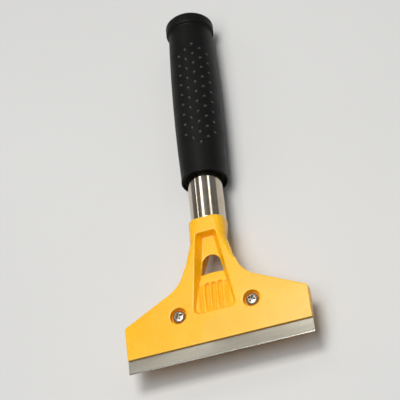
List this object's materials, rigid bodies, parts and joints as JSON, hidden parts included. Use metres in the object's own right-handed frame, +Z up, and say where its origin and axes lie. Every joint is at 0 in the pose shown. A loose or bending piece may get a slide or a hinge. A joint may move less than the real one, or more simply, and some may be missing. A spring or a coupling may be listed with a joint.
{
  "type": "floor scraper",
  "caption": "Hand scraper with a wide clamped blade in a moulded plastic head, a bare steel tube and a nubbed rubber grip.",
  "frame": {"origin": "under the middle of the tool's length and width, level with the lowest nub of the grip", "axes": "+X along the blade, +Y from the cutting edge to the butt, +Z up out of the head's front face"},
  "size_m": [0.1, 0.217, 0.028],
  "materials": {
    "head_plastic": "moulded, satin gloss",
    "blade_steel": "ground, satin",
    "fastener_zinc": "bright zinc plate",
    "tube_chrome": "polished",
    "grip_rubber": "satin black"
  },
  "bodies": {
    "handle": {"head_body": "head_plastic", "handle_tube": "tube_chrome", "tube_screw": "fastener_zinc", "grip_sleeve": "grip_rubber"},
    "left_screw": {"clamp_screw_left": "fastener_zinc"},
    "right_screw": {"clamp_screw_right": "fastener_zinc"},
    "clamp": {"clamp_plate": "head_plastic", "clamp_nut_left": "fastener_zinc", "clamp_nut_right": "fastener_zinc"},
    "blade": {"blade": "blade_steel"}
  },
  "joints": [
    {"name": "left_screw_turn", "type": "hinge", "parent": "handle", "child": "left_screw", "pos_m": [-0.02, -0.08275, 0.014], "axis": [0, 0, 1], "range_deg": [0, 1080]},
    {"name": "right_screw_turn", "type": "hinge", "parent": "handle", "child": "right_screw", "pos_m": [0.02, -0.08275, 0.014], "axis": [0, 0, 1], "range_deg": [0, 1080]},
    {"name": "clamp_slide", "type": "slide", "parent": "handle", "child": "clamp", "axis": [0, 0, -1], "range_m": [0, 0.0021]},
    {"name": "blade_slide", "type": "slide", "parent": "handle", "child": "blade", "axis": [0, -1, 0], "range_m": [0, 0.0102]}
  ],
  "couplings": [
    {"joint": "left_screw_turn", "follows": "clamp_slide", "rad_per_m": 8975.9},
    {"joint": "right_screw_turn", "follows": "clamp_slide", "rad_per_m": 8975.9}
  ]
}
